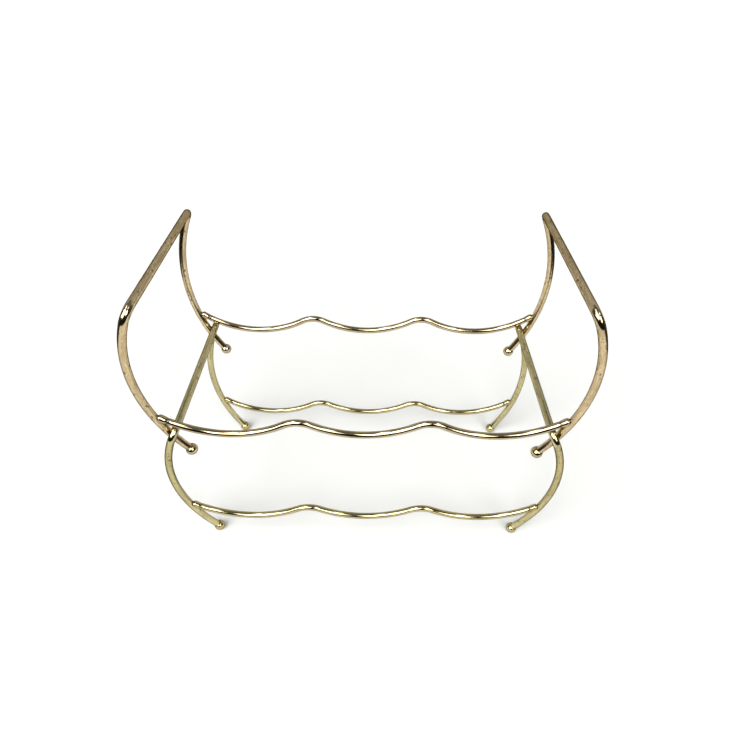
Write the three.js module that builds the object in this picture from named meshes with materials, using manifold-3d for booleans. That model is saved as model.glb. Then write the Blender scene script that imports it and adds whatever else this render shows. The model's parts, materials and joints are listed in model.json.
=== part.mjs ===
// Stackable wine rack: two identical bent-wire tiers, the upper one hooked onto the lower one.
// Millimetres, +Z up, X across the rack, Y from front to rear. The origin is on the floor,
// at the middle of the rack.

import * as THREE from 'three';
import { mergeVertices } from 'three/addons/utils/BufferGeometryUtils.js';
import Module from 'manifold-3d';

// ---- Driving dimensions ----

const FRAME_WIRE = 6; // diameter of the side frames' wire
const CRADLE_WIRE = 5.5; // diameter of the cradle wires
const BALL = 9.6; // diameter of a ball foot
const FOOT_FLAT = 3; // diameter of the flat that a ball stands on
const SEAM = 0.3; // clearance between two pieces that touch

const HALF_WIDTH = 163.8; // widest point of the arms, to the wire's centre
const ARM_RADIUS = 136; // bow of the arms, seen from the front
const ARM_CENTRE_HEIGHT = 80.2; // height of the centre of that bow
const CROSSBAR_HEIGHT = 147; // wire centre of the crossbar
const FOOT_HALF_DEPTH = 64; // centre of a ball, from the middle of the rack
const CROSSBAR_HALF_DEPTH = 72.8; // where arm and crossbar would meet without a bend
const CROSSBAR_BEND = 9; // bend radius from arm to crossbar

const CRADLE_PITCH = 103.5; // from one bottle to the next
const CRADLE_RADIUS = 85; // curve of a cradle, to the wire's centre
const CRADLE_HEIGHT = 27; // lowest point of a cradle
const CREST_RADIUS = 21.5; // curve of the crest between two cradles

const TIER_RISE = 114.95; // from one tier to the next when they are stacked

const WIRE_SIDES = 10; // facets around a wire
const STEPS = { arm: 16, bend: 5, crossbar: 2, middleCradle: 8, crest: 6, outerCradle: 9 };
const BALL_FACETS = [16, 10];

// ---- Finish ----

const plated = (color, roughness) => new THREE.MeshStandardMaterial({ color, roughness, metalness: 1 });
const FRAME_FINISH = plated(0xc2b280, 0.3);
const CRADLE_FINISH = plated(0xcabd92, 0.22);
const BALL_FINISH = plated(0xcdbb85, 0.18);

// ---- Solids ----

const wasm = await Module();
wasm.setup();

/** A closed three.js geometry as a solid that can be cut. */
function toSolid(geometry) {
  const bare = geometry.clone();
  bare.deleteAttribute('normal');
  bare.deleteAttribute('uv');
  const merged = mergeVertices(bare, 1e-4);
  const mesh = new wasm.Mesh({
    numProp: 3,
    vertProperties: new Float32Array(merged.attributes.position.array),
    triVerts: new Uint32Array(merged.index.array),
  });
  return new wasm.Manifold(mesh);
}

/** A cut solid as a three.js geometry again. */
function toGeometry(solid) {
  const { vertProperties, triVerts } = solid.getMesh();
  const geometry = new THREE.BufferGeometry();
  geometry.setAttribute('position', new THREE.BufferAttribute(vertProperties, 3));
  geometry.setIndex(new THREE.BufferAttribute(triVerts, 1));
  geometry.computeVertexNormals();
  return geometry;
}

// ---- Wires ----

/** A wire's centreline: stretches joined end to end, each with its own number of steps. */
class WirePath extends THREE.Curve {
  constructor(stretches) {
    super();
    this.stretches = stretches;
    this.steps = stretches.reduce((sum, stretch) => sum + stretch.steps, 0);
  }

  getPoint(t) {
    let step = Math.min(Math.max(t, 0), 1) * this.steps;
    for (const stretch of this.stretches) {
      if (step <= stretch.steps) return stretch.at(step / stretch.steps);
      step -= stretch.steps;
    }
    return this.stretches.at(-1).at(1);
  }

  // Steps are shared out by stretch, not by length, so that tight bends get enough of them.
  getUtoTmapping(u) {
    return u;
  }
}

/** A round wire of the given diameter along a path. */
function wireGeometry(path, diameter) {
  const rim = [];
  for (let i = 0; i < WIRE_SIDES; i += 1) {
    const angle = (2 * Math.PI * i) / WIRE_SIDES;
    rim.push(new THREE.Vector2(Math.cos(angle), Math.sin(angle)).multiplyScalar(diameter / 2));
  }
  const options = { steps: path.steps, extrudePath: path, bevelEnabled: false };
  return new THREE.ExtrudeGeometry(new THREE.Shape(rim), options);
}

// ---- Side frame: ball, front arm, crossbar, rear arm, ball ----
// Laid flat, the frame is a U in two coordinates: climb along the bow of the arms, and depth.
// It is then rolled onto the bow, whose axis runs from front to rear.

const BALL_RADIUS = BALL / 2;
const BALL_HEIGHT = Math.sqrt(BALL_RADIUS ** 2 - (FOOT_FLAT / 2) ** 2);
const BOW_AXIS_X = HALF_WIDTH - ARM_RADIUS;
const bowAngle = (height) => Math.asin((height - ARM_CENTRE_HEIGHT) / ARM_RADIUS);
const FOOT_ANGLE = bowAngle(BALL_HEIGHT);
const CLIMB = ARM_RADIUS * (bowAngle(CROSSBAR_HEIGHT) - FOOT_ANGLE);

/** Rolls a point of the flat U onto the bow. side is 1 on the right and -1 on the left. */
function onBow(side, climb, depth) {
  const angle = FOOT_ANGLE + climb / ARM_RADIUS;
  const x = BOW_AXIS_X + ARM_RADIUS * Math.cos(angle);
  const z = ARM_CENTRE_HEIGHT + ARM_RADIUS * Math.sin(angle);
  return new THREE.Vector3(side * x, depth, z);
}

// The flat outline of one arm and its bend, as climb and depth.
const foot = new THREE.Vector2(0, FOOT_HALF_DEPTH);
const corner = new THREE.Vector2(CLIMB, CROSSBAR_HALF_DEPTH);
const armDirection = corner.clone().sub(foot).normalize();
const armLean = armDirection.angle();
const bendTurn = Math.PI / 2 + armLean;
const bendTangent = CROSSBAR_BEND * Math.tan(bendTurn / 2);
const armTop = corner.clone().addScaledVector(armDirection, -bendTangent);
const bendCentre = new THREE.Vector2(CLIMB - CROSSBAR_BEND, CROSSBAR_HALF_DEPTH - bendTangent);
const SEAT = Math.sqrt(BALL_RADIUS ** 2 - (FRAME_WIRE / 2) ** 2); // wire end, from the ball's centre

/** Stretches of one arm, from its ball up to the crossbar. */
function armStretches(side, end) {
  const armStart = foot.clone().addScaledVector(armDirection, SEAT);
  const bendPoint = (t) => {
    const angle = Math.PI / 2 + armLean - bendTurn * t;
    const climb = bendCentre.x + CROSSBAR_BEND * Math.cos(angle);
    return onBow(side, climb, end * (bendCentre.y + CROSSBAR_BEND * Math.sin(angle)));
  };
  const armPoint = (t) => {
    const point = armStart.clone().lerp(armTop, t);
    return onBow(side, point.x, end * point.y);
  };
  return [{ steps: STEPS.arm, at: armPoint }, { steps: STEPS.bend, at: bendPoint }];
}

/** The same stretches, walked from the other end. */
function reversed(stretches) {
  return stretches.toReversed().map(({ steps, at }) => ({ steps, at: (t) => at(1 - t) }));
}

function sideFramePath(side) {
  const reach = bendCentre.y;
  const crossbar = { steps: STEPS.crossbar, at: (t) => onBow(side, CLIMB, reach * (2 * t - 1)) };
  return new WirePath([...armStretches(side, -1), crossbar, ...reversed(armStretches(side, 1))]);
}

// ---- Ball foot: a sphere with a flat to stand on and a flat seat for the wire's end ----

function ballGeometry(side, end) {
  const centre = onBow(side, 0, end * FOOT_HALF_DEPTH);
  const above = onBow(side, SEAT * Math.cos(armLean), end * (FOOT_HALF_DEPTH + SEAT * Math.sin(armLean)));
  const sphere = new THREE.SphereGeometry(BALL_RADIUS, ...BALL_FACETS);
  sphere.rotateX(Math.PI / 2);

  const floorSide = new THREE.BoxGeometry(BALL, BALL, BALL);
  floorSide.translate(0, 0, -BALL_HEIGHT - BALL_RADIUS);

  const wireSide = new THREE.BoxGeometry(BALL, BALL, BALL);
  wireSide.translate(0, 0, SEAT - SEAM + BALL_RADIUS);
  const up = new THREE.Vector3(0, 0, 1);
  wireSide.applyQuaternion(new THREE.Quaternion().setFromUnitVectors(up, above.sub(centre).normalize()));

  const ball = toSolid(sphere).subtract(toSolid(floorSide)).subtract(toSolid(wireSide));
  return toGeometry(ball).translate(centre.x, centre.y, centre.z);
}

// ---- Cradle wire: three cradles joined by two crests, its ends cut to the arms' curve ----

const cradleCentreHeight = CRADLE_HEIGHT + CRADLE_RADIUS;
const crestSpan = CRADLE_RADIUS + CREST_RADIUS;
const crestAngle = Math.asin(CRADLE_PITCH / 2 / crestSpan); // from a dip to where the crest begins
const crestCentreHeight = cradleCentreHeight - crestSpan * Math.cos(crestAngle);

const weldHeightAt = (climb) => onBow(1, climb, 0).z;
const cradleHeightAt = (x) => cradleCentreHeight - Math.sqrt(CRADLE_RADIUS ** 2 - (x - CRADLE_PITCH) ** 2);

/** Climb at which the outer cradle's curve meets the bow of the arms. */
function weldClimb() {
  let low = 0;
  let high = CLIMB / 2;
  for (let i = 0; i < 40; i += 1) {
    const middle = (low + high) / 2;
    const armIsBelow = weldHeightAt(middle) < cradleHeightAt(onBow(1, middle, 0).x);
    if (armIsBelow) low = middle;
    else high = middle;
  }
  return low;
}

const WELD_CLIMB = weldClimb();
const WELD_X = onBow(1, WELD_CLIMB, 0).x;
const CRADLE_HALF_DEPTH = FOOT_HALF_DEPTH + WELD_CLIMB * Math.tan(armLean);

/** A cradle's curve between two angles from its lowest point. */
function cradleArc(x, depth, steps, from, to) {
  const at = (t) => {
    const angle = from + (to - from) * t;
    const height = cradleCentreHeight - CRADLE_RADIUS * Math.cos(angle);
    return new THREE.Vector3(x + CRADLE_RADIUS * Math.sin(angle), depth, height);
  };
  return { steps, at };
}

function crestArc(x, depth) {
  const at = (t) => {
    const angle = crestAngle * (2 * t - 1);
    const height = crestCentreHeight + CREST_RADIUS * Math.cos(angle);
    return new THREE.Vector3(x + CREST_RADIUS * Math.sin(angle), depth, height);
  };
  return { steps: STEPS.crest, at };
}

function cradlePath(depth) {
  const endAngle = Math.asin((WELD_X - CRADLE_PITCH) / CRADLE_RADIUS);
  return new WirePath([
    cradleArc(-CRADLE_PITCH, depth, STEPS.outerCradle, -endAngle, crestAngle),
    crestArc(-CRADLE_PITCH / 2, depth),
    cradleArc(0, depth, STEPS.middleCradle, -crestAngle, crestAngle),
    crestArc(CRADLE_PITCH / 2, depth),
    cradleArc(CRADLE_PITCH, depth, STEPS.outerCradle, -crestAngle, endAngle),
  ]);
}

function cradleGeometry(end) {
  let wire = toSolid(wireGeometry(cradlePath(end * CRADLE_HALF_DEPTH), CRADLE_WIRE));
  for (const side of [-1, 1]) {
    const armWithSeam = wireGeometry(new WirePath(armStretches(side, end)), FRAME_WIRE + 2 * SEAM);
    wire = wire.subtract(toSolid(armWithSeam));
  }
  // What is left beyond the arms are slivers; the wire itself is the largest piece.
  const pieces = wire.decompose().sort((a, b) => b.volume() - a.volume());
  return toGeometry(pieces[0]);
}

// ---- Tiers ----

function named(name, geometry, material) {
  const mesh = new THREE.Mesh(geometry, material);
  mesh.name = name;
  return mesh;
}

function tier(name) {
  const group = new THREE.Group();
  for (const [sideName, side] of [['left', -1], ['right', 1]]) {
    const wire = wireGeometry(sideFramePath(side), FRAME_WIRE);
    group.add(named(`${name}_${sideName}_side_frame`, wire, FRAME_FINISH));
  }
  for (const [endName, end] of [['front', -1], ['rear', 1]]) {
    group.add(named(`${name}_${endName}_cradle_wire`, cradleGeometry(end), CRADLE_FINISH));
    for (const [sideName, side] of [['left', -1], ['right', 1]]) {
      group.add(named(`${name}_${endName}_${sideName}_ball_foot`, ballGeometry(side, end), BALL_FINISH));
    }
  }
  return group;
}

const rack = new THREE.Group();
rack.add(tier('lower'));
const upperTier = tier('upper');
upperTier.position.z = TIER_RISE;
rack.add(upperTier);

export default rack;
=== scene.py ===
"""Stackable wine rack: two identical tiers of bent, plated steel wire, one hooked on the other.

Metres, +Z up, X across the rack, Y from front to rear, the origin on the floor at its middle.
"""

import json
import math

import bpy
import numpy as np
from mathutils import Matrix, Vector


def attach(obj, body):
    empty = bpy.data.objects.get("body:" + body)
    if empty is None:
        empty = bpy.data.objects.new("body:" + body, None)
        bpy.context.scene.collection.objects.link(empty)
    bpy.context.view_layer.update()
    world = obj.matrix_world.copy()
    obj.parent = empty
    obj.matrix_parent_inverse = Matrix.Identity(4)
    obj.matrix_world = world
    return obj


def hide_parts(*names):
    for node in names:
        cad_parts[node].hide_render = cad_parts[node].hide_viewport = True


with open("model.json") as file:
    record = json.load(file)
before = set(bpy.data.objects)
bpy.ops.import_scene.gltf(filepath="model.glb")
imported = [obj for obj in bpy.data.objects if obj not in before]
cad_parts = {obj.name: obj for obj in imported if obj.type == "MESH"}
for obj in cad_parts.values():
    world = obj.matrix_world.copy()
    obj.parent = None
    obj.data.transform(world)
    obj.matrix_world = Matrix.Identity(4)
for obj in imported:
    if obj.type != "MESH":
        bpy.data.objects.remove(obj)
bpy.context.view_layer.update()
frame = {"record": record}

# ---- Sizes, as the CAD model has them ----

FRAME_WIRE = 0.006  # diameter of the side frames' wire
CRADLE_WIRE = 0.0055  # diameter of the cradle wires
BALL = 0.0096  # diameter of a ball foot
FOOT_FLAT = 0.003  # diameter of the flat that a ball stands on

HALF_WIDTH = 0.1638  # widest point of the arms, to the wire's centre
ARM_RADIUS = 0.136  # bow of the arms, seen from the front
ARM_CENTRE_HEIGHT = 0.0802
CROSSBAR_HEIGHT = 0.147
FOOT_HALF_DEPTH = 0.064
CROSSBAR_HALF_DEPTH = 0.0728
CROSSBAR_BEND = 0.009

CRADLE_PITCH = 0.1035  # from one bottle to the next
CRADLE_RADIUS = 0.085
CRADLE_HEIGHT = 0.027
CREST_RADIUS = 0.0215

TIER_RISE = 0.11495  # from one tier to the next

# ---- Detail that the CAD model leaves out ----

WIRE_SIDES = 48
STATION_GAP = 0.0009  # between the rings of vertices along a wire
END_RINGS = 9  # rings on a wire's rounded end
END_RING_ANGLE = 0.15  # of the first of them, in radians from the tip
TANGENT_STEP = 0.0001  # to each side of a ring, for the wire's direction there
BALL_RINGS = 43
ARM_POINTS = 300
CROSSBAR_POINTS = 120
ARC_POINTS = 60
LONG_ARC_POINTS = 120
HALVINGS = 40  # of the range in which a weld is looked for
NECK_GAP = 0.00035  # groove where a wire enters its ball
NECK_DEPTH = 0.0006
LIP_DEPTH = 0.3 * NECK_DEPTH  # the groove's rounded lip
LIP_WIDTH = 0.25 * NECK_GAP
WELD_OVERLAP = 0.004  # a cradle wire stops this far short of the arm's centre
WELD_LENGTH = 0.0080  # pressed end of a cradle wire, from its tip to the notch
WELD_SWELL = 0.10  # by how much that end is thicker than the wire
WELD_NOTCH = 0.14  # by how much the notch behind it is thinner
NOTCH_HALF_WIDTH = 0.0008
# Painted shade where a cradle wire is welded: in the notch behind its pressed end, and at its tip against
# the arm.
NOTCH_SHADE = 0.75  # share of the full painted shade in the notch
TIP_SHADE = 0.5
TIP_SHADE_LENGTH = 0.0012

UP = Vector((0, 0, 1))
SIDES = {"left": -1, "right": 1}
ENDS = {"front": -1, "rear": 1}
TIERS = {"lower": 0.0, "upper": TIER_RISE}


# ---- The tier's curves ----

BALL_RADIUS = BALL / 2
BALL_HEIGHT = math.sqrt(BALL_RADIUS**2 - (FOOT_FLAT / 2) ** 2)
BOW_AXIS_X = HALF_WIDTH - ARM_RADIUS
SEAT = math.sqrt(BALL_RADIUS**2 - (FRAME_WIRE / 2) ** 2)  # from a ball's centre to its wire's end


def bow_angle(height):
    return math.asin((height - ARM_CENTRE_HEIGHT) / ARM_RADIUS)


FOOT_ANGLE = bow_angle(BALL_HEIGHT)
CLIMB = ARM_RADIUS * (bow_angle(CROSSBAR_HEIGHT) - FOOT_ANGLE)
ARM_LEAN = math.atan2(CROSSBAR_HALF_DEPTH - FOOT_HALF_DEPTH, CLIMB)


def on_bow(side, climb, depth):
    """Rolls a point of the flat side frame, given as climb and depth, onto the bow of the arms."""
    angle = FOOT_ANGLE + climb / ARM_RADIUS
    x = BOW_AXIS_X + ARM_RADIUS * math.cos(angle)
    z = ARM_CENTRE_HEIGHT + ARM_RADIUS * math.sin(angle)
    return Vector((side * x, depth, z))


def arc(centre, radius, start, end, points=ARC_POINTS):
    """Points of a flat arc, its angles in radians from the first axis."""
    angles = np.linspace(start, end, points)
    return [(centre[0] + radius * math.cos(a), centre[1] + radius * math.sin(a)) for a in angles]


def flat_side_frame():
    """The side frame's centreline laid flat, as climb and depth, from front ball to rear ball."""
    turn = math.pi / 2 + ARM_LEAN
    tangent = CROSSBAR_BEND * math.tan(turn / 2)
    bend_centre = (CLIMB - CROSSBAR_BEND, CROSSBAR_HALF_DEPTH - tangent)
    foot = np.array((0.0, FOOT_HALF_DEPTH))
    corner = np.array((CLIMB, CROSSBAR_HALF_DEPTH))
    arm_top = corner - tangent * np.array((math.cos(ARM_LEAN), math.sin(ARM_LEAN)))
    arm = [tuple(foot + (arm_top - foot) * share) for share in np.linspace(0, 1, ARM_POINTS)]
    bend = arc(bend_centre, CROSSBAR_BEND, turn, 0)
    crossbar = [(CLIMB, d) for d in np.linspace(bend_centre[1], 0, CROSSBAR_POINTS)]
    rear = arm + bend[1:] + crossbar[1:]
    front = [(climb, -depth) for climb, depth in rear]
    return front + rear[-2::-1]


def cradle_outline():
    """A cradle wire's centreline as x and height, from the left arm to the right one."""
    centre_height = CRADLE_HEIGHT + CRADLE_RADIUS
    span = CRADLE_RADIUS + CREST_RADIUS
    lean = math.asin(CRADLE_PITCH / 2 / span)
    crest_height = centre_height - span * math.cos(lean)
    end_lean = math.asin((weld_point()[0] - CRADLE_PITCH) / CRADLE_RADIUS)
    down = -math.pi / 2
    up = math.pi / 2
    half = arc((0, centre_height), CRADLE_RADIUS, down, down + lean)
    half += arc((CRADLE_PITCH / 2, crest_height), CREST_RADIUS, up + lean, up - lean)[1:]
    outer = (CRADLE_PITCH, centre_height)
    half += arc(outer, CRADLE_RADIUS, down - lean, down + end_lean, LONG_ARC_POINTS)[1:]
    return [(-x, z) for x, z in half[:0:-1]] + half


def weld_point():
    """Where a cradle's curve meets the bow of the arms: x, height and climb."""
    low = 0.0
    high = CLIMB / 2
    for _ in range(HALVINGS):
        climb = (low + high) / 2
        x, _, z = on_bow(1, climb, 0)
        drop = math.sqrt(CRADLE_RADIUS**2 - (x - CRADLE_PITCH) ** 2)
        if z < CRADLE_HEIGHT + CRADLE_RADIUS - drop:
            low = climb
        else:
            high = climb
    return x, z, climb


# ---- Meshes ----


def link_mesh(name, vertices, faces):
    mesh = bpy.data.meshes.new(name)
    mesh.from_pydata(vertices, [], faces)
    mesh.validate()
    mesh.update()
    mesh.polygons.foreach_set("use_smooth", [True] * len(mesh.polygons))
    obj = bpy.data.objects.new(name, mesh)
    bpy.context.scene.collection.objects.link(obj)
    return obj


def store_flow(obj, flow):
    """Keeps each vertex's place on the unrolled wire: its distance along, and across two ways."""
    attribute = obj.data.attributes.new("flow", "FLOAT_VECTOR", "POINT")
    attribute.data.foreach_set("vector", np.asarray(flow, float).ravel())


def store_weld_shade(obj, share):
    """Keeps how much painted shade each vertex takes near a weld."""
    attribute = obj.data.attributes.new("weld_shade", "FLOAT", "POINT")
    attribute.data.foreach_set("value", np.asarray(share, float))


def ring_faces(rings, sides):
    """Quads between neighbouring rings, and a fan to a point at each end."""
    first = rings * sides
    last = first + 1
    end = first - sides
    faces = []
    for i in range(sides):
        j = (i + 1) % sides
        faces.append((first, j, i))
        for start in range(0, end, sides):
            following = start + sides
            faces.append((start + i, start + j, following + j, following + i))
        faces.append((end + i, end + j, last))
    return faces


def stations(length, wire_radius):
    """Distances along a wire for its rings, close together where its ends are rounded."""
    angles = np.linspace(END_RING_ANGLE, math.pi / 2, END_RINGS)
    rounding = [wire_radius * (1 - math.cos(angle)) for angle in angles]
    count = int((length - 2 * wire_radius) / STATION_GAP)
    middle = np.linspace(wire_radius, length - wire_radius, count)[1:-1]
    return np.array(rounding + list(middle) + [length - s for s in reversed(rounding)])


def rounded_end(distance, wire_radius):
    """Share of the full radius near a domed end."""
    s = np.clip(distance / wire_radius, 0, 1)
    return np.sqrt(1 - (1 - s) ** 2)


def distances(path):
    """Each point's distance along the path."""
    gaps = np.linalg.norm(np.diff(path, axis=0), axis=1)
    return np.concatenate(([0], np.cumsum(gaps)))


def places(path, along, where):
    """The path's points at the distances in where."""
    return np.stack([np.interp(where, along, path[:, k]) for k in range(3)], 1)


def shortened(path, cut):
    """The path without the given length at each end."""
    along = distances(path)
    end = along[-1] - cut
    kept = np.concatenate(([cut], along[(along > cut) & (along < end)], [end]))
    return places(path, along, kept)


def wire(name, centreline, diameter, cut=0.0, shape=None, weld_shade=None):
    """A round wire. shape gives its thickness, and the last argument the painted shade at its weld, by
    distance from the nearer end.
    """
    path = shortened(np.array([tuple(p) for p in centreline]), cut)
    along = distances(path)
    length = along[-1]
    where = stations(length, diameter / 2)
    centres = places(path, along, where)
    tangents = places(path, along, where + TANGENT_STEP) - places(path, along, where - TANGENT_STEP)
    tangents /= np.linalg.norm(tangents, axis=1)[:, None]

    from_end = np.minimum(where, length - where)
    radii = diameter / 2 * rounded_end(from_end, diameter / 2)
    if shape:
        radii *= shape(from_end)

    vertices = []
    flow = []
    across = Vector(tangents[0]).orthogonal().normalized()
    for centre, tangent, radius, s in zip(centres, tangents, radii, where):
        axis = Vector(tangent)
        across = (across - axis * across.dot(axis)).normalized()
        over = axis.cross(across)
        for i in range(WIRE_SIDES):
            angle = 2 * math.pi * i / WIRE_SIDES
            cos = math.cos(angle)
            sin = math.sin(angle)
            vertices.append(Vector(centre) + (across * cos + over * sin) * radius)
            flow.append((s, cos * diameter / 2, sin * diameter / 2))
    vertices += [Vector(path[0]), Vector(path[-1])]
    flow += [(0, 0, 0), (length, 0, 0)]
    obj = link_mesh(name, vertices, ring_faces(len(where), WIRE_SIDES))
    store_flow(obj, flow)
    # The painted shade at the weld, kept on the vertices.
    if weld_shade:
        ends = weld_shade(np.zeros(2))
        store_weld_shade(obj, np.concatenate((np.repeat(weld_shade(from_end), WIRE_SIDES), ends)))
    return obj


def pressed_end(distance):
    """Thickness of a cradle wire near its weld: a swollen end, then a notch, then the plain wire."""
    swell = np.clip(1 - distance / WELD_LENGTH, 0, 1) ** 0.5 * WELD_SWELL
    notch = WELD_NOTCH * np.exp(-(((distance - WELD_LENGTH) / NOTCH_HALF_WIDTH) ** 2))
    return 1 + swell - notch


def painted_weld_shade(distance):
    """Painted shade on a cradle wire near its weld: at the very tip, against the arm, and in the notch."""
    tip = TIP_SHADE * np.exp(-((distance / TIP_SHADE_LENGTH) ** 2))
    notch = NOTCH_SHADE * np.exp(-(((distance - WELD_LENGTH) / NOTCH_HALF_WIDTH) ** 2))
    return tip + notch


def ball_profile():
    """A ball foot's outline from its far pole to the groove round the wire: distance along, radius."""
    mouth = FRAME_WIRE / 2 + NECK_GAP
    stop = math.asin(mouth / BALL_RADIUS)
    outline = []
    for angle in np.linspace(math.pi, stop, BALL_RINGS + 1)[1:]:
        outline.append((BALL_RADIUS * math.cos(angle), BALL_RADIUS * math.sin(angle)))
    rim = outline[-1][0]
    outline.append((rim - LIP_DEPTH, mouth - LIP_WIDTH))
    outline.append((rim - NECK_DEPTH, FRAME_WIRE / 2 - NECK_GAP))
    return outline


def ball(name, centre, axis):
    """A ball foot, its groove facing along axis, with a flat where it stands."""
    across = axis.orthogonal().normalized()
    over = axis.cross(across)
    outline = ball_profile()
    vertices = []
    for along, radius in outline:
        for i in range(WIRE_SIDES):
            angle = 2 * math.pi * i / WIRE_SIDES
            out = across * math.cos(angle) + over * math.sin(angle)
            vertices.append(axis * along + out * radius)
    vertices += [axis * -BALL_RADIUS, axis * outline[-1][0]]
    for v in vertices:
        v.z = max(v.z, -BALL_HEIGHT)
    obj = link_mesh(name, [v + centre for v in vertices], ring_faces(len(outline), WIRE_SIDES))
    store_flow(obj, vertices)
    return obj


# ---- Materials ----


class Tree:
    """A short way to build a node tree."""

    def __init__(self, tree):
        self.tree = tree
        tree.nodes.clear()

    def add(self, kind, inputs=None, **settings):
        node = self.tree.nodes.new(kind)
        for name, value in settings.items():
            setattr(node, name, value)
        for name, value in (inputs or {}).items():
            if isinstance(value, bpy.types.NodeSocket):
                self.tree.links.new(value, node.inputs[name])
            else:
                node.inputs[name].default_value = value
        return node

    def math(self, operation, a, b=0.0):
        return self.add("ShaderNodeMath", {0: a, 1: b}, operation=operation).outputs[0]

    def dot(self, direction, axis):
        inputs = {0: direction, 1: tuple(axis)}
        return self.add("ShaderNodeVectorMath", inputs, operation="DOT_PRODUCT").outputs["Value"]

    def fade(self, value, low, high):
        """0 below low, 1 above high, smooth between."""
        inputs = {"Value": value, "From Min": low, "From Max": high}
        return self.add("ShaderNodeMapRange", inputs, interpolation_type="SMOOTHSTEP").outputs[0]

    def mix(self, factor, a, b):
        node = self.add("ShaderNodeMix", {"Factor": factor}, data_type="RGBA")
        for socket, value in ((node.inputs[6], a), (node.inputs[7], b)):
            if isinstance(value, bpy.types.NodeSocket):
                self.tree.links.new(value, socket)
            else:
                socket.default_value = value
        return node.outputs[2]

    def noise(self, vector, scale, detail=2.0, roughness=0.5):
        inputs = {"Vector": vector, "Scale": scale, "Detail": detail, "Roughness": roughness}
        return self.add("ShaderNodeTexNoise", inputs).outputs["Fac"]


EDGE_TINT = (0.03, 0.025, 0.015, 1)  # plating at a glancing angle
DRAWN_DARK = (0.20, 0.15, 0.08, 1)  # in the drawing lines
PIT_AND_SHADE_DARK = (0.10, 0.065, 0.035, 1)  # in pits, and as the painted shade at a weld's tip and notch
FLECK = (0.92, 0.82, 0.58, 1)  # bright flecks of fresh plating
LINE_SHARE = 0.55  # of DRAWN_DARK in a drawing line's colour

# Scale in cells per metre, detail and roughness of each noise.
PATCHES = (330, 3, 0.55)
LINES = (1500, 3, 0.6)
GRAIN = (900, 4, 0.65)
PATCH_FADE = (0.32, 0.68)  # from the tint to the shade
LINE_FADE = (0.35, 0.65)
PATCH_STRETCH = 7  # how much longer than wide a mark is along the wire
LINE_STRETCH = 30
MARK_STRETCH = 2
MARK_EDGE = 0.4  # a mark is full inside this share of its radius
GATE_SCALE = 0.45  # of the stretches with and without marks, as a share of the marks' scale
GATE_SOFTNESS = 0.06
DUST_STRENGTH = 0.7  # as a share of the pits' strength
FLECK_STRENGTH = 0.6
ROUGH_MARKS = 0.25  # roughness that a pit or a weld's painted shade adds
ROUGH_LEAST = 0.6  # of a finish's roughness where the grain adds none
ROUGH_GRAIN = 0.8  # of it that full grain adds
LINE_HEIGHT = 0.5  # in the relief, against 1 for a pit
GRAIN_HEIGHT = 0.5
BUMP_STRENGTH = 0.12
BUMP_HEIGHT = 0.0002

# Scale in cells per metre, radius as a share of a cell, and how often, for each kind of mark.
PITS = (420.0, 0.38, 0.47)
DUST = (900.0, 0.45, 0.52)
FLECKS = (600.0, 0.44, 0.50)

# The plating's tint and shade: the upper tier is pinker than the lower one.
TINTS = {
    ("lower", "frame_wire"): ((0.67, 0.59, 0.325, 1), (0.50, 0.44, 0.23, 1)),
    ("lower", "cradle_wire"): ((0.62, 0.53, 0.30, 1), (0.50, 0.43, 0.22, 1)),
    ("lower", "ball_foot"): ((0.58, 0.50, 0.27, 1), (0.48, 0.41, 0.21, 1)),
    ("upper", "frame_wire"): ((0.75, 0.58, 0.355, 1), (0.51, 0.40, 0.235, 1)),
    ("upper", "cradle_wire"): ((0.64, 0.53, 0.34, 1), (0.52, 0.42, 0.25, 1)),
    ("upper", "ball_foot"): ((0.60, 0.51, 0.30, 1), (0.50, 0.41, 0.23, 1)),
}
ROUGHNESS = {"frame_wire": 0.12, "cradle_wire": 0.03, "ball_foot": 0.06}
LINE_STRENGTH = {"frame_wire": 0.30, "cradle_wire": 0.12, "ball_foot": 0.0}
MARK_STRENGTH = {
    ("lower", "frame_wire"): 0.7,
    ("lower", "cradle_wire"): 0.2,
    ("lower", "ball_foot"): 0.3,
    ("upper", "frame_wire"): 0.8,
    ("upper", "cradle_wire"): 0.2,
    ("upper", "ball_foot"): 0.3,
}


def flow_coordinates(tree, stretch):
    """The unrolled wire's coordinates, drawn out along it, with an offset of the piece's own."""
    place = tree.add("ShaderNodeAttribute", attribute_name="flow").outputs["Vector"]
    scale = (1 / stretch, 1, 1)
    scaled = tree.add("ShaderNodeVectorMath", {0: place, 1: scale}, operation="MULTIPLY")
    own = tree.add("ShaderNodeObjectInfo").outputs["Random"]
    offset = tree.add("ShaderNodeVectorMath", {0: scaled.outputs[0], 1: own}, operation="ADD")
    return offset.outputs[0]


def marks(tree, vector, scale, radius, often):
    """Small round marks scattered over the wire, thick in some places and rare in others."""
    distance = tree.add("ShaderNodeTexVoronoi", {"Vector": vector, "Scale": scale}).outputs["Distance"]
    mark = tree.math("SUBTRACT", 1.0, tree.fade(distance, radius * MARK_EDGE, radius))
    thick = tree.noise(vector, scale * GATE_SCALE)
    gate = tree.fade(thick, 1 - often - GATE_SOFTNESS, 1 - often + GATE_SOFTNESS)
    return tree.math("MULTIPLY", mark, gate)


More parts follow.
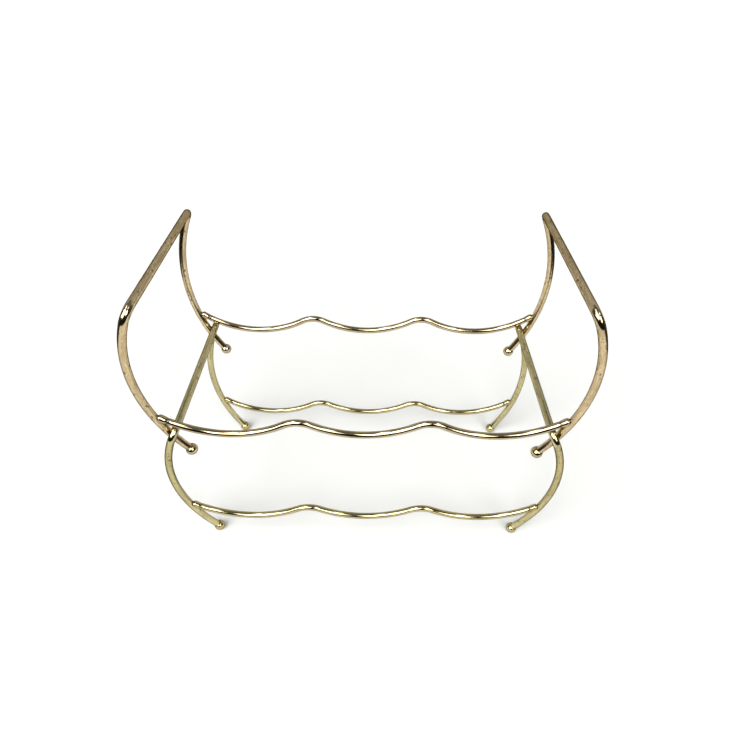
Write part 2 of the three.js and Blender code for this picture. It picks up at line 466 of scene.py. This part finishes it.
def plating_colour(tree, tint, shade, line, pit, strength):
    """A tint that wanders towards a shade, under drawing lines, flecks, dust and pits."""
    even = flow_coordinates(tree, 1)
    drawn = flow_coordinates(tree, MARK_STRETCH)
    patch = tree.noise(flow_coordinates(tree, PATCH_STRETCH), *PATCHES)
    dust = tree.math("MULTIPLY", marks(tree, even, *DUST), strength * DUST_STRENGTH)
    fleck = tree.math("MULTIPLY", marks(tree, drawn, *FLECKS), strength * FLECK_STRENGTH)
    colour = tree.mix(tree.fade(patch, *PATCH_FADE), tint, shade)
    colour = tree.mix(line, colour, tree.mix(LINE_SHARE, shade, DRAWN_DARK))
    colour = tree.mix(fleck, colour, FLECK)
    colour = tree.mix(dust, colour, DRAWN_DARK)
    return tree.mix(pit, colour, PIT_AND_SHADE_DARK)


def plated(name, tint, shade, roughness, line_strength, mark_strength):
    """Plated wire, with lines left by the drawing and small marks."""
    material = bpy.data.materials.new(name)
    material.use_nodes = True
    tree = Tree(material.node_tree)

    drawn = flow_coordinates(tree, MARK_STRETCH)
    lines = tree.noise(flow_coordinates(tree, LINE_STRETCH), *LINES)
    line = tree.math("MULTIPLY", tree.fade(lines, *LINE_FADE), line_strength)
    grain = tree.noise(flow_coordinates(tree, 1), *GRAIN)
    pit = tree.math("MULTIPLY", marks(tree, drawn, *PITS), mark_strength)
    # Painted shade in a weld's notch and at its tip, read from the wire's vertices.
    weld_shade = tree.add("ShaderNodeAttribute", attribute_name="weld_shade").outputs["Fac"]

    colour = plating_colour(tree, tint, shade, line, pit, mark_strength)
    # Paints the weld's shade over the plating colour.
    colour = tree.mix(weld_shade, colour, PIT_AND_SHADE_DARK)

    rough = tree.math("MULTIPLY", grain, roughness * ROUGH_GRAIN)
    rough = tree.math("ADD", rough, roughness * ROUGH_LEAST)
    marked = tree.math("MULTIPLY", tree.math("ADD", pit, weld_shade), ROUGH_MARKS)
    rough = tree.math("ADD", rough, marked)

    line_relief = tree.math("MULTIPLY", lines, LINE_HEIGHT)
    grain_relief = tree.math("MULTIPLY", grain, GRAIN_HEIGHT)
    height = tree.math("SUBTRACT", tree.math("ADD", line_relief, grain_relief), pit)
    relief = {"Height": height, "Strength": BUMP_STRENGTH, "Distance": BUMP_HEIGHT}
    bump = tree.add("ShaderNodeBump", relief)

    surface = {
        "Base Color": colour,
        "Metallic": 1.0,
        "Roughness": rough,
        "Normal": bump.outputs[0],
        "Specular Tint": EDGE_TINT,
    }
    shader = tree.add("ShaderNodeBsdfPrincipled", surface)
    tree.add("ShaderNodeOutputMaterial", {"Surface": shader.outputs[0]})
    return material


def make_finishes():
    """One material for each kind of piece in each tier."""
    finishes = {}
    for (tier, slot), (tint, shade) in TINTS.items():
        name = f"{tier}_{slot.split('_')[0]}_plating"
        surface = (ROUGHNESS[slot], LINE_STRENGTH[slot], MARK_STRENGTH[tier, slot])
        finishes[tier, slot] = plated(name, tint, shade, *surface)
    return finishes


FINISHES = make_finishes()


# ---- The rack ----


def body_of_node(node):
    """The CAD body that a node belongs to."""
    bodies = frame["record"]["behaviour"]["bodies"]
    return next(body for body, nodes in bodies.items() if node in nodes)


def stand_for(piece, node, tier, slot):
    """The piece takes the CAD node's place, body and finish."""
    piece.data.materials.append(FINISHES[tier, slot])
    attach(piece, body_of_node(node))
    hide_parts(node)


def raised(points, rise):
    return [Vector((p[0], p[1], p[2] + rise)) for p in points]


def make_side_frame(tier, side):
    outline = [on_bow(SIDES[side], climb, depth) for climb, depth in flat_side_frame()]
    node = f"{tier}_{side}_side_frame"
    piece = wire(f"{tier}_{side}_frame_wire", raised(outline, TIERS[tier]), FRAME_WIRE)
    stand_for(piece, node, tier, "frame_wire")


def make_cradle_wire(tier, end):
    depth = ENDS[end] * (FOOT_HALF_DEPTH + weld_point()[2] * math.tan(ARM_LEAN))
    outline = [(x, depth, z) for x, z in cradle_outline()]
    node = f"{tier}_{end}_cradle_wire"
    outline = raised(outline, TIERS[tier])
    # Its welded end is pressed thicker and gets painted shade at the tip and in the notch.
    piece = wire(f"{tier}_{end}_cradle", outline, CRADLE_WIRE, WELD_OVERLAP, pressed_end, painted_weld_shade)
    stand_for(piece, node, tier, "cradle_wire")


def make_ball(tier, side, end):
    centre = on_bow(SIDES[side], 0, ENDS[end] * FOOT_HALF_DEPTH)
    climb = SEAT * math.cos(ARM_LEAN)
    depth = FOOT_HALF_DEPTH + SEAT * math.sin(ARM_LEAN)
    axis = (on_bow(SIDES[side], climb, ENDS[end] * depth) - centre).normalized()
    node = f"{tier}_{end}_{side}_ball_foot"
    piece = ball(f"{tier}_{end}_{side}_ball", centre + Vector((0, 0, TIERS[tier])), axis)
    stand_for(piece, node, tier, "ball_foot")


def make_rack():
    for tier in TIERS:
        for side in SIDES:
            make_side_frame(tier, side)
            for end in ENDS:
                make_ball(tier, side, end)
        for end in ENDS:
            make_cradle_wire(tier, end)


# ---- Studio ----

FLOOR_COLOUR = (0.52, 0.523, 0.52, 1)
FLOOR_ROUGHNESS = 0.9
FLOOR_SIDE = 0.57
FLOOR_FRONT = 0.365
FLOOR_REAR = 1.6
CAMERA_PLACE = (0.0092, -0.3329, 0.4509)
CAMERA_PITCH = 0.744  # below the horizon
CAMERA_YAW = -0.003
CAMERA_ROLL = 0.007
CAMERA_LENS = 24.8  # millimetres
CAMERA_SENSOR = 36
CAMERA_NEAR = 0.01
CAMERA_FAR = 50

# Azimuth, elevation, width and height of each softbox, in degrees.
SOFTBOXES = [
    (-33, 48, 50, 36),
    (-46, 25, 48, 14),
    (-75, 72, 26, 10),
    (35, 33, 26, 34),
    (68, 60, 14, 12),
]
SOFTBOX_EDGE = 0.03
SOFTBOX_LIGHT = (9.1, 9.1, 8.9, 1)  # as it lights the floor
SOFTBOX_GLARE = (5.8, 5.8, 5.7, 1)  # as the wires mirror it
BACKDROP = (0.56, 0.56, 0.545, 1)
ROOM_SIDES = (0.11, 0.11, 0.105, 1)
ROOM_FRONT = (0.012, 0.012, 0.012, 1)
CEILING = (0.20, 0.20, 0.19, 1)
PAPER = (1.05, 1.05, 1.05, 1)  # what shows beyond the table

# Each pair is where a smooth change starts and ends, as the cosine or sine of an angle.
FRONT_FADE = (-0.2, 0.5)  # from the sides of the room to its front
CEILING_FADE = (0.55, 0.80)
BACKDROP_FADE = (0.20, 0.50)
BACKDROP_TOP = (0.62, 0.80)
SOFTBOX_HORIZON = 0.05  # a softbox is seen from its front only


def plain_floor():
    material = bpy.data.materials.new("studio_floor")
    material.use_nodes = True
    tree = Tree(material.node_tree)
    surface = {"Base Color": FLOOR_COLOUR, "Roughness": FLOOR_ROUGHNESS}
    shader = tree.add("ShaderNodeBsdfPrincipled", surface)
    tree.add("ShaderNodeOutputMaterial", {"Surface": shader.outputs[0]})
    return material


def make_floor():
    corners = [(-FLOOR_SIDE, -FLOOR_FRONT, 0), (FLOOR_SIDE, -FLOOR_FRONT, 0)]
    corners += [(FLOOR_SIDE, FLOOR_REAR, 0), (-FLOOR_SIDE, FLOOR_REAR, 0)]
    floor = link_mesh("studio_floor", corners, [(0, 1, 2, 3)])
    floor.data.materials.append(plain_floor())


def make_camera():
    data = bpy.data.cameras.new("studio_camera")
    data.lens = CAMERA_LENS
    data.sensor_width = CAMERA_SENSOR
    data.clip_start = CAMERA_NEAR
    data.clip_end = CAMERA_FAR
    camera = bpy.data.objects.new("studio_camera", data)
    level = Vector((math.cos(CAMERA_YAW), -math.sin(CAMERA_YAW), 0))
    forward = Vector((math.sin(CAMERA_YAW), math.cos(CAMERA_YAW), 0))
    ahead = forward * math.cos(CAMERA_PITCH) - Vector((0, 0, math.sin(CAMERA_PITCH)))
    over = level.cross(ahead)
    right = level * math.cos(CAMERA_ROLL) + over * math.sin(CAMERA_ROLL)
    axes = Matrix((right, right.cross(ahead), -ahead)).transposed()
    camera.matrix_world = Matrix.Translation(CAMERA_PLACE) @ axes.to_4x4()
    bpy.context.scene.collection.objects.link(camera)
    bpy.context.scene.camera = camera


def compass(azimuth, elevation):
    """A direction from the rack. Azimuth 0 is straight to the front and 90 to the right, in degrees."""
    a, e = math.radians(azimuth), math.radians(elevation)
    return Vector((math.sin(a) * math.cos(e), -math.cos(a) * math.cos(e), math.sin(e)))


def softbox(tree, direction, azimuth, elevation, width, height):
    """Share of a far softbox seen in each direction. Its size is in degrees."""
    facing = compass(azimuth, elevation)
    right = facing.cross(UP).normalized()
    shares = []
    depth = tree.dot(direction, facing)
    for axis, size in ((right, width), (right.cross(facing), height)):
        aside = tree.math("ABSOLUTE", tree.math("DIVIDE", tree.dot(direction, axis), depth))
        edge = math.tan(math.radians(size / 2))
        shares.append(tree.math("SUBTRACT", 1.0, tree.fade(aside, edge - SOFTBOX_EDGE, edge)))
    both = tree.math("MULTIPLY", shares[0], shares[1])
    return tree.math("MULTIPLY", both, tree.math("GREATER_THAN", depth, SOFTBOX_HORIZON))


def backdrop(tree, direction):
    """Share of the pale backdrop that rises behind the rack."""
    aim = tree.fade(tree.dot(direction, compass(180, 0)), *BACKDROP_FADE)
    above = tree.fade(tree.dot(direction, UP), *BACKDROP_TOP)
    return tree.math("MULTIPLY", aim, tree.math("SUBTRACT", 1.0, above))


def make_light():
    """Softboxes above and around the camera, a pale backdrop behind the rack, and a dark room."""
    world = bpy.data.worlds.new("studio")
    bpy.context.scene.world = world
    world.use_nodes = True
    tree = Tree(world.node_tree)
    direction = tree.add("ShaderNodeTexCoord").outputs["Generated"]
    to_front = tree.fade(tree.dot(direction, compass(0, 0)), *FRONT_FADE)
    light = tree.mix(to_front, ROOM_SIDES, ROOM_FRONT)
    overhead = tree.fade(tree.dot(direction, UP), *CEILING_FADE)
    light = tree.mix(overhead, light, CEILING)
    light = tree.mix(backdrop(tree, direction), light, BACKDROP)
    rays = tree.add("ShaderNodeLightPath").outputs
    glow = tree.mix(rays["Is Glossy Ray"], SOFTBOX_LIGHT, SOFTBOX_GLARE)
    for box in SOFTBOXES:
        light = tree.mix(softbox(tree, direction, *box), light, glow)
    seen = rays["Is Camera Ray"]
    background = tree.add("ShaderNodeBackground", {"Color": tree.mix(seen, light, PAPER)})
    tree.add("ShaderNodeOutputWorld", {"Surface": background.outputs[0]})


make_rack()
make_floor()
make_light()
make_camera()
bpy.context.scene.view_settings.view_transform = "Standard"
